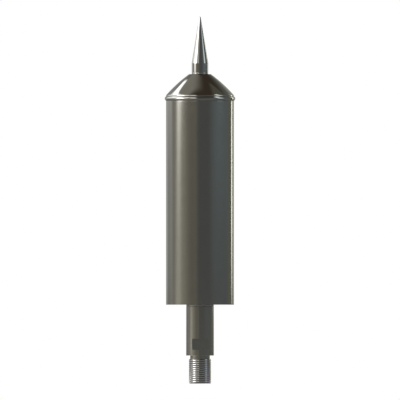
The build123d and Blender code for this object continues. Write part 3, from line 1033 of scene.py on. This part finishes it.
bead_radius = (BEAD_PROUD**2 + (BEAD_HEIGHT / 2) ** 2) / (2 * BEAD_PROUD)
land = (CAP_LAND, cap_top)
rim = (housing_radius, housing_top + RIM_HEIGHT)
bead_top = (housing_radius, housing_top + BEAD_HEIGHT)
bead_foot = (housing_radius, housing_top)
inner_rim = (SPIGOT_BORE, rim[1])
inner_top = (INNER_LAND, cap_top - CAP_PLATE)

cap_corners = [
    (CAP_HOLE, cap_top),
    (*land, LAND_ROUNDING),
    *arc_points(land, rim, FLANK_RADIUS, FLANK_STEPS),
    (*rim, RIM_ROUNDING),
    bead_top,
    *arc_points(bead_top, bead_foot, bead_radius, BEAD_STEPS),
    bead_foot,
    (SPIGOT_RADIUS, housing_top),
    (SPIGOT_RADIUS, cap_spigot_end + GROOVE_HIGH),
    (GROOVE_FLOOR, cap_spigot_end + GROOVE_HIGH),
    (GROOVE_FLOOR, cap_spigot_end + GROOVE_LOW),
    (SPIGOT_RADIUS, cap_spigot_end + GROOVE_LOW),
    (SPIGOT_RADIUS, cap_spigot_end + SPIGOT_BEVEL),
    (SPIGOT_RADIUS - SPIGOT_BEVEL, cap_spigot_end),
    (SPIGOT_BORE, cap_spigot_end),
    inner_rim,
    *arc_points(inner_rim, inner_top, FLANK_RADIUS, FLANK_STEPS),
    inner_top,
    (CAP_HOLE, inner_top[1]),
]
spin_round("cap", cap_corners, POLISHED, "top_cap")

# %% [markdown]
# ## The spike
#
# The spike is a straight cone on a short round shoulder, with a small flat at the tip and a
# tapped hole below that screws onto the rod. The ridge between shoulder and cone is barely
# rounded, which keeps the two sets of streaks apart, as they are in the photograph.

# %% Spin the spike
SHOULDER_HEIGHT = 8.5 * MM
RIDGE_ROUNDING = 0.4 * MM
POINT_EDGE = 0.2 * MM
TIP_RADIUS = 0.6 * MM
TIP_ROUNDING = 0.3 * MM
STUD_HOLE = 5.05 * MM
POINT_HOLE_DEPTH = 11.0 * MM
DRILL_ANGLE = 118
DRILL_SLOPE = tan(radians(90 - DRILL_ANGLE / 2))
SEAL_RECESS = 6.15 * MM
SEAL_RECESS_DEPTH = 1.1 * MM

hole_end = point_foot + POINT_HOLE_DEPTH
spike_corners = [
    (SEAL_RECESS, point_foot),
    (point_radius, point_foot, POINT_EDGE),
    (point_radius, point_foot + SHOULDER_HEIGHT, RIDGE_ROUNDING),
    (TIP_RADIUS, tip_height, TIP_ROUNDING),
    (0.0, tip_height),
    (0.0, hole_end + STUD_HOLE * DRILL_SLOPE),
    (STUD_HOLE, hole_end),
    (STUD_HOLE, point_foot + SEAL_RECESS_DEPTH),
    (SEAL_RECESS, point_foot + SEAL_RECESS_DEPTH),
]
spin_round("spike", spike_corners, POLISHED, "strike_point")

# %% [markdown]
# ## The two rings
#
# Each ring is the flange of an insulating bush, moulded round the rod, which parts one steel
# piece from the next. It is only a little over a millimetre high, but its outer corners are
# rounded in the mould, so it shows as one bright line between the two pieces. Each is spun from
# its outline, flange and sleeve in one skin.

# %% Spin the rings
STEM_BUSH_BORE = 8.1 * MM
POINT_BUSH_BORE = 5.1 * MM
BUSH_WALL = 1.3 * MM
RING_ROUNDING = 0.4 * MM

stem_bush_outer = STEM_BUSH_BORE + BUSH_WALL
stem_bush_top = heights("stem_bush")[1]
stem_ring_corners = [
    (STEM_BUSH_BORE, stem_top),
    (stem_radius, stem_top, RING_ROUNDING),
    (stem_radius, housing_foot, RING_ROUNDING),
    (stem_bush_outer, housing_foot),
    (stem_bush_outer, stem_bush_top),
    (STEM_BUSH_BORE, stem_bush_top),
]
spin_round("stem_ring", stem_ring_corners, RING_PLASTIC, "stem_bush")

point_bush_outer = POINT_BUSH_BORE + BUSH_WALL
point_bush_foot = heights("point_bush")[0]
spike_ring_corners = [
    (POINT_BUSH_BORE, point_bush_foot),
    (point_bush_outer, point_bush_foot),
    (point_bush_outer, cap_top),
    (point_radius, cap_top, RING_ROUNDING),
    (point_radius, point_foot, RING_ROUNDING),
    (POINT_BUSH_BORE, point_foot),
]
spin_round("spike_ring", spike_ring_corners, RING_PLASTIC, "point_bush")

# %% [markdown]
# ## The stem and its thread
#
# The stem is one turned piece: a mast thread, a relief neck, the round stem with two spanner
# flats, and a spigot that runs up into the housing. A thread could be faked with rings, but a
# ring doesn't climb, and its end would be a step all round. Here a row of points may change its
# height with the angle, so the thread's rows climb one pitch a turn and run into plain rings at
# both ends, all in one closed skin. The flats come from the same idea: a row whose radius is
# held back by a straight line where the cutter has passed.

# %% The form of the thread
PITCH = 1.923 * MM
THREAD_DEPTH = 0.55 * MM
CREST_BEND = radians(31)
CREST_STEPS = 8

# The two ends of the rising flank, each as a share of the pitch and a share of the depth.
FLANK_FOOT = (0.045, 0.022)
FLANK_TOP = (0.156, 0.75)


def crest_point(step):
    """A point on the rounded crest: its share of the pitch and its share of the depth."""
    across = 2 * step / CREST_STEPS - 1
    drop = (1 - cos(asin(across * sin(CREST_BEND)))) / (1 - cos(CREST_BEND))
    return 0.5 + across * (0.5 - FLANK_TOP[0]), 1 - drop * (1 - FLANK_TOP[1])


crest = [crest_point(step) for step in range(CREST_STEPS + 1)]
thread_form = [(0.0, 0.0), FLANK_FOOT, *crest, (1 - FLANK_FOOT[0], FLANK_FOOT[1]), (1.0, 0.0)]
print("thread form:", [(round(place, 3), round(share, 3)) for place, share in thread_form])


def thread_share(place):
    """How much of the thread's depth stands at a place along the pitch."""
    for (start, low), (end, high) in zip(thread_form, thread_form[1:]):
        if start <= place <= end:
            return low + (high - low) * (place - start) / (end - start)
    return 0.0


# %% Rows that climb: the thread
# The lead is the bevel at both ends. The start turns the whole thread, by a share of a turn, and
# the spare turns lie flat beyond both ends, so that the climbing rows leave no gap there.
THREAD_LENGTH = 22.3 * MM
THREAD_RADIUS = 10.0 * MM
THREAD_LEAD = 0.4 * MM
THREAD_START = 0.600
SPARE_TURNS_BELOW = 3
SPARE_TURNS_ABOVE = 2


def thread_row(turn, place):
    """A row that climbs one pitch a turn, and lies flat where the thread is cut off."""
    def row(angle):
        round_share = angle / (2 * pi) + THREAD_START
        climbed = (turn + place + round_share) * PITCH
        height = min(max(climbed, 0.0), THREAD_LENGTH)
        standing = thread_share((height / PITCH - round_share) % 1.0)
        radius = THREAD_RADIUS - THREAD_DEPTH * (1 - standing)
        lead = THREAD_RADIUS - THREAD_LEAD + min(height, THREAD_LENGTH - height)
        return min(radius, lead), stem_foot + height

    return row


turns = range(-SPARE_TURNS_BELOW, ceil(THREAD_LENGTH / PITCH) + SPARE_TURNS_ABOVE)
thread_rows = [thread_row(turn, spot[0]) for turn in turns for spot in thread_form[1:]]
print("thread turns", round(THREAD_LENGTH / PITCH, 1), "rows", len(thread_rows))

# %% Rows that are cut straight: the spanner flats
FLAT_REACH = 10.0 * MM
FLAT_LOW = stem_foot + 30.6 * MM
FLAT_HIGH = stem_foot + 40.6 * MM
FLAT_TURN = radians(92)


def milled_row(height):
    """A row at one height whose radius stops at the two flats."""
    def row(angle):
        toward_flat = abs(cos(angle - FLAT_TURN))
        if toward_flat * stem_radius <= FLAT_REACH:
            return stem_radius, height
        return FLAT_REACH / toward_flat, height

    return row


def stem_angles():
    """Even angles, with the nearest ones moved onto the upright edges of the flats."""
    angles = even_angles()
    half = acos(FLAT_REACH / stem_radius)
    for middle in (FLAT_TURN, FLAT_TURN + pi):
        for edge in (middle - half, middle + half):
            edge %= 2 * pi
            angles[round(edge / angles[1])] = edge
    return angles


# %% Spin the stem
STEM_SPIGOT = 8.0 * MM
NECK_RADIUS = 8.9 * MM
NECK_HEIGHT = 3.1 * MM
STEM_EDGE = 0.3 * MM
SEAL_GROOVE = 1.5 * MM
SEAL_GROOVE_OUTER = 10.6 * MM
BORE_DEPTH = 19.0 * MM

neck_foot = stem_foot + THREAD_LENGTH
neck_top = neck_foot + NECK_HEIGHT
bore_foot = spigot_top - BORE_DEPTH
stem_core = [(0.0, bore_foot - STUD_HOLE * DRILL_SLOPE), (0.0, stem_foot)]
stem_outline = outline([
    (NECK_RADIUS, neck_foot),
    (NECK_RADIUS, neck_top),
    (stem_radius, neck_top, STEM_EDGE),
    (stem_radius, stem_top, STEM_EDGE),
    (SEAL_GROOVE_OUTER, stem_top),
    (SEAL_GROOVE_OUTER, stem_top - SEAL_GROOVE),
    (STEM_SPIGOT, stem_top - SEAL_GROOVE),
    (STEM_SPIGOT, spigot_top),
    (STUD_HOLE, spigot_top),
    (STUD_HOLE, bore_foot),
])
flat_rows = [
    ring_row((stem_radius, FLAT_LOW)),
    milled_row(FLAT_LOW),
    milled_row(FLAT_HIGH),
    ring_row((stem_radius, FLAT_HIGH)),
]
stem_rows = (
    [ring_row(spot) for spot in stem_core]
    + thread_rows
    + [ring_row(spot) for spot in stem_outline if spot[1] < FLAT_LOW]
    + flat_rows
    + [ring_row(spot) for spot in stem_outline if spot[1] > FLAT_HIGH]
)
stem = spin("stem", stem_rows, stem_angles(), SATIN, "mounting_stem")

# %% Mill the flats and roll the thread
STEM_FINISHES = [SATIN, MILLED, ROLLED]

for material in STEM_FINISHES[1:]:
    stem.data.materials.append(material)
for face in stem.data.polygons:
    middle = face.center
    across = abs(middle.x * cos(FLAT_TURN) + middle.y * sin(FLAT_TURN))
    if middle.z < neck_foot:
        face.material_index = STEM_FINISHES.index(ROLLED)
    elif FLAT_LOW < middle.z < FLAT_HIGH and across < FLAT_REACH + WELD:
        face.material_index = STEM_FINISHES.index(MILLED)
for index, material in enumerate(STEM_FINISHES):
    count = sum(face.material_index == index for face in stem.data.polygons)
    print(material.name, "faces", count)
